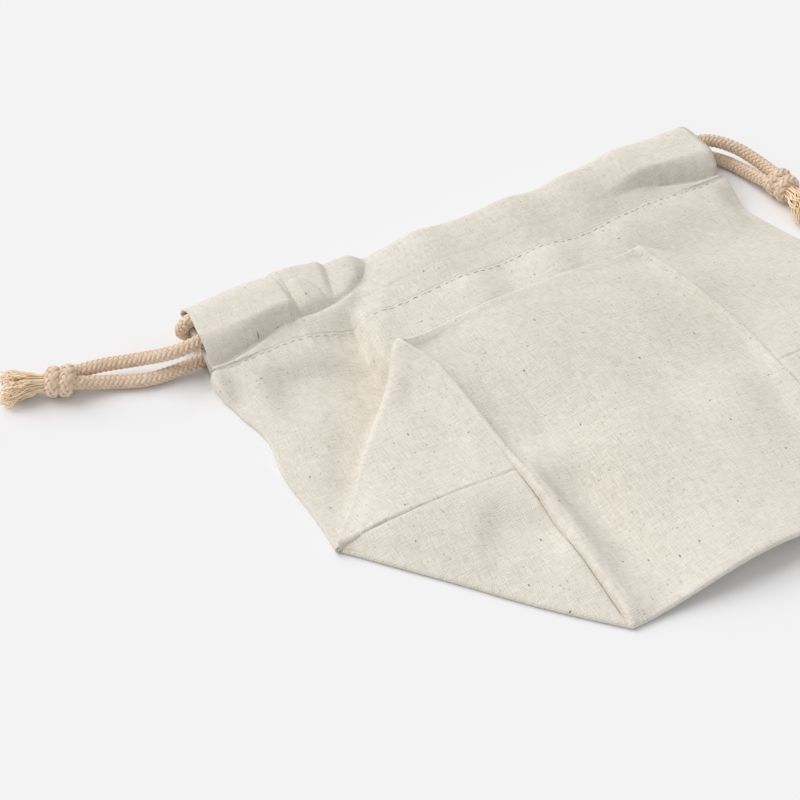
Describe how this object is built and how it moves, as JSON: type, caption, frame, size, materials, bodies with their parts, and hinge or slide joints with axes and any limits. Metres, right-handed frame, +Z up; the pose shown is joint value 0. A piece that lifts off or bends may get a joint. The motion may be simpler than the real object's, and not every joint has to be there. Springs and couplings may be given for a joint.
{
  "type": "drawstring lunch bag",
  "caption": "Linen drawstring lunch bag lying flat, its boxed base folded up over its front, with a stitched casing at the mouth and braided cords with knotted, frayed ends at both sides.",
  "frame": {"origin": "on the surface the bag lies on, under the middle of the folded cloth without its cords", "axes": "+Z up, +Y towards the mouth, +X across the bag towards its right drawstring"},
  "size_m": [0.3027, 0.1892, 0.0243],
  "materials": {
    "linen": "matt plain weave",
    "cotton_cord": "matt braid"
  },
  "bodies": {
    "root": {"bag_body": "linen", "drawstring_left": "cotton_cord", "drawstring_right": "cotton_cord", "knot_left": "cotton_cord", "knot_right": "cotton_cord", "frayed_end_left": "cotton_cord", "frayed_end_right": "cotton_cord"}
  },
  "joints": []
}
